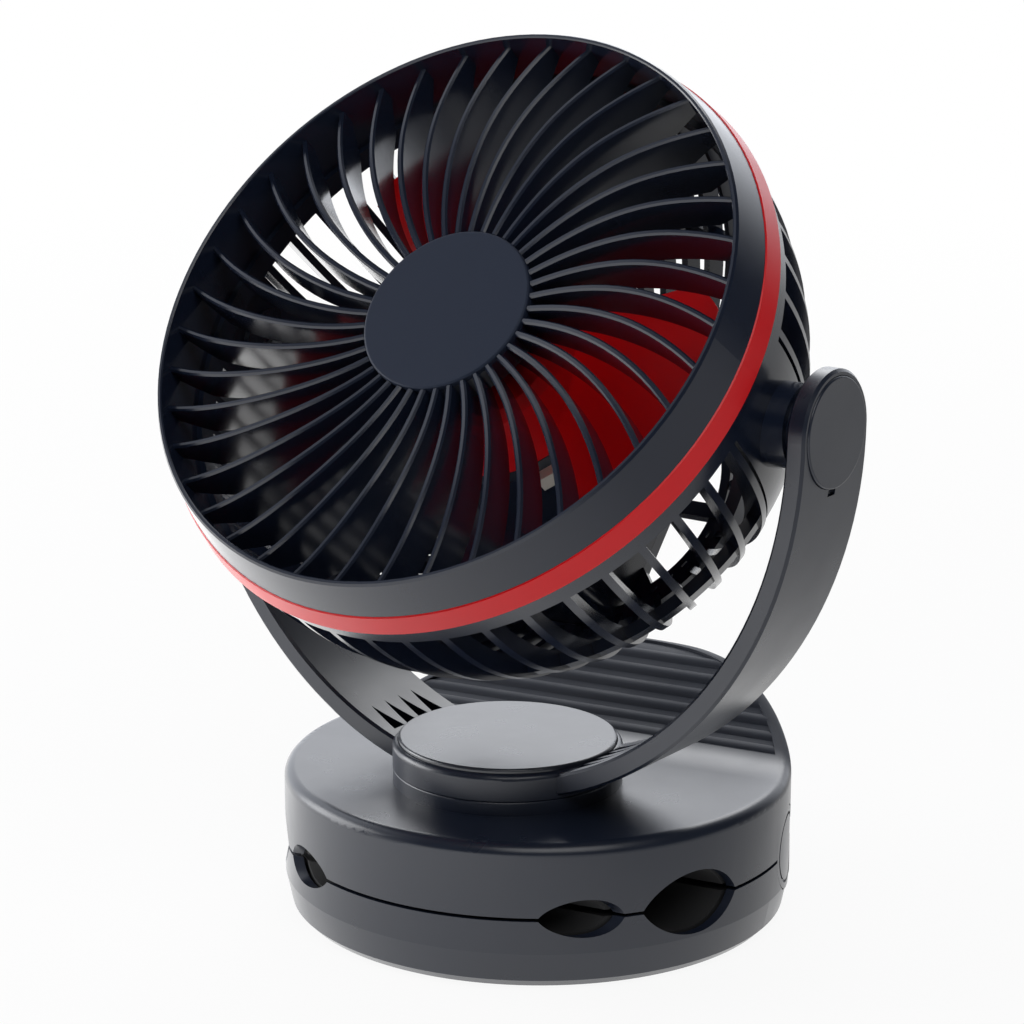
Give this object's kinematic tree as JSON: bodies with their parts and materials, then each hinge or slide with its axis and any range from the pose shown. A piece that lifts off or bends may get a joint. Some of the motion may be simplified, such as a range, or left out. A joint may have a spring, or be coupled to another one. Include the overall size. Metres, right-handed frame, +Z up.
{
  "type": "portable camping fan",
  "caption": "Navy and red desk and clip-on camping fan: spiral grille on a tilting round head in a U yoke, on a round clamp base with pole channels.",
  "frame": {"origin": "centre of the round base on the table", "axes": "+Z up, -Y towards the front of the base, +X to the right seen from behind; the pole channels run along X"},
  "size_m": [0.1896, 0.1642, 0.2257],
  "materials": {
    "shell": "satin moulded, navy black",
    "gloss_shell": "semi-gloss moulded, navy black",
    "red": "semi-gloss red",
    "disc": "fine texture, dark grey",
    "rubber": "matte",
    "washer": "matte acetal",
    "steel": "plated",
    "brass": "sintered",
    "cell": "shrink sleeve",
    "board": "solder mask",
    "plug": "white connector",
    "lens": "frosted clear"
  },
  "bodies": {
    "lower_jaw": {"lower_jaw_shell": "shell", "lower_jaw_pad": "rubber", "lower_rear_plate": "shell", "foot_pad": "rubber", "hinge_pin": "steel", "hinge_caps": "shell", "clamp_spring": "steel", "lower_jaw_screws": "steel"},
    "upper_jaw": {"upper_jaw_shell": "shell", "upper_jaw_pad": "rubber", "tail_plate": "shell", "swivel_collar": "shell"},
    "yoke": {"yoke_frame": "shell", "hub_cover": "disc", "pivot_cap_left": "shell", "pivot_cap_right": "shell", "pivot_washers": "washer", "swivel_washer": "steel", "swivel_screw": "steel"},
    "head": {"front_grille": "gloss_shell", "centre_cap": "disc", "trim_ring": "red", "rear_cage": "shell", "motor_housing": "shell", "motor_stator": "steel", "motor_bearings": "brass", "battery_cells": "cell", "circuit_board": "board", "motor_plug": "plug", "rear_cover": "shell", "rear_cover_screws": "steel", "charging_socket": "steel", "indicator_lens": "lens", "pivot_bolts": "steel"},
    "fan_wheel": {"impeller": "red", "rotor_can": "steel", "motor_shaft": "steel"},
    "power_button": {"power_button": "rubber"}
  },
  "joints": [
    {"name": "clamp_hinge", "type": "hinge", "parent": "lower_jaw", "child": "upper_jaw", "pos_m": [0, 0.0163, 0.019], "axis": [-1, 0, 0], "range_deg": [0, 20], "stiffness_Nm_per_rad": 2, "springref_deg": -20.05},
    {"name": "swivel", "type": "hinge", "parent": "upper_jaw", "child": "yoke", "pos_m": [0, -0.0173, 0.0355], "axis": [0, 0, 1], "range_deg": [-161.8, 178.2]},
    {"name": "tilt", "type": "hinge", "parent": "yoke", "child": "head", "pos_m": [0, -0.0173, 0.1415], "axis": [-0.9898, 0.1426, 0], "range_deg": [-131.1, 48.9]},
    {"name": "wheel_spin", "type": "hinge", "parent": "head", "child": "fan_wheel", "pos_m": [0, -0.0173, 0.1415], "axis": [0.1075, 0.7459, -0.6574], "continuous": true},
    {"name": "button_press", "type": "slide", "parent": "head", "child": "power_button", "axis": [-0.1075, -0.7459, 0.6574], "range_m": [0, 0.001], "stiffness_N_per_m": 500, "springref_m": -0.0005}
  ]
}
